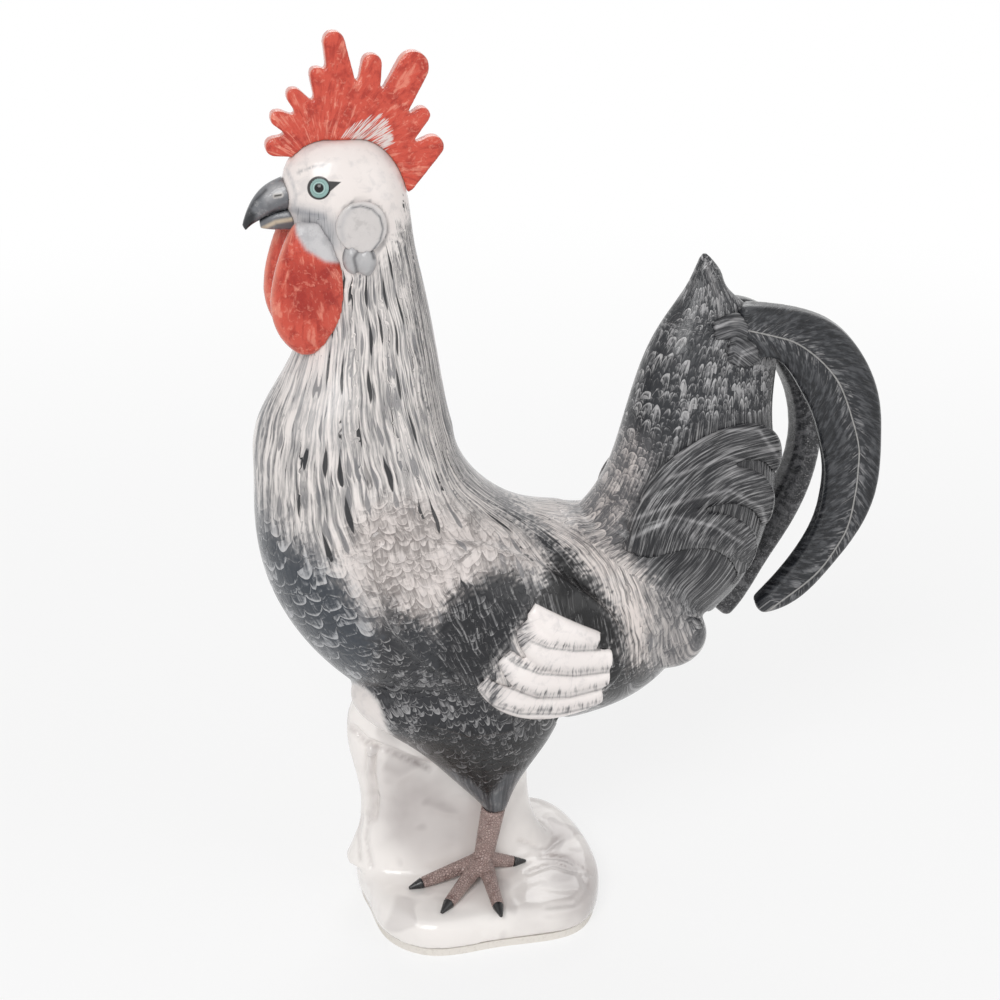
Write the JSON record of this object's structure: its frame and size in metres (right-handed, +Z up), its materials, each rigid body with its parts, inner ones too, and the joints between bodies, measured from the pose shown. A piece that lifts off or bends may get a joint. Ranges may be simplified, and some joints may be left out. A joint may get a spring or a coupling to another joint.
{
  "type": "ceramic rooster ornament",
  "caption": "Hollow glazed ceramic rooster with comb, wattles, folded wings and arched tail feathers, standing on a white rock base with a support stump.",
  "frame": {"origin": "middle of the underside of the rock base, on the surface that it stands on", "axes": "+Z up to the comb; the rooster faces -X; its left side faces -Y"},
  "size_m": [0.4541, 0.212, 0.6615],
  "materials": {
    "bare_clay": "unglazed fired clay",
    "beak_glaze": "glossy grey",
    "claw_glaze": "glossy black",
    "dark_feather_glaze": "glossy near-black with pale feather edges",
    "eye_glaze": "glossy painted eye",
    "grey_feather_glaze": "glossy, brushed feathers",
    "leg_glaze": "glossy pinkish brown",
    "pale_feather_glaze": "glossy, brushed feathers",
    "red_glaze": "glossy brushed red under the glaze",
    "rock_glaze": "glossy white glaze",
    "white_feather_glaze": "glossy white with grey edges"
  },
  "bodies": {
    "root": {"base_floor": "bare_clay", "base_plinth": "rock_glaze", "body_left": "grey_feather_glaze", "body_right": "grey_feather_glaze", "claws_left": "claw_glaze", "claws_right": "claw_glaze", "comb": "red_glaze", "curl_left": "dark_feather_glaze", "curl_right": "dark_feather_glaze", "ear_lobe_left": "pale_feather_glaze", "ear_lobe_right": "pale_feather_glaze", "ear_tufts_left": "pale_feather_glaze", "ear_tufts_right": "pale_feather_glaze", "eye_left": "eye_glaze", "eye_right": "eye_glaze", "foot_left": "leg_glaze", "foot_right": "leg_glaze", "head": "pale_feather_glaze", "lower_beak": "beak_glaze", "neck": "pale_feather_glaze", "rump_left": "dark_feather_glaze", "rump_right": "dark_feather_glaze", "shank_left": "leg_glaze", "shank_right": "leg_glaze", "sickle_left": "dark_feather_glaze", "sickle_right": "dark_feather_glaze", "support_stump": "rock_glaze", "tail_coverts_left": "dark_feather_glaze", "tail_coverts_right": "dark_feather_glaze", "tail_plume": "dark_feather_glaze", "thigh_left": "dark_feather_glaze", "thigh_right": "dark_feather_glaze", "upper_beak": "beak_glaze", "wattle_left": "red_glaze", "wattle_right": "red_glaze", "wing_feathers_left": "white_feather_glaze", "wing_feathers_right": "white_feather_glaze", "wing_left": "grey_feather_glaze", "wing_right": "grey_feather_glaze"}
  },
  "joints": []
}
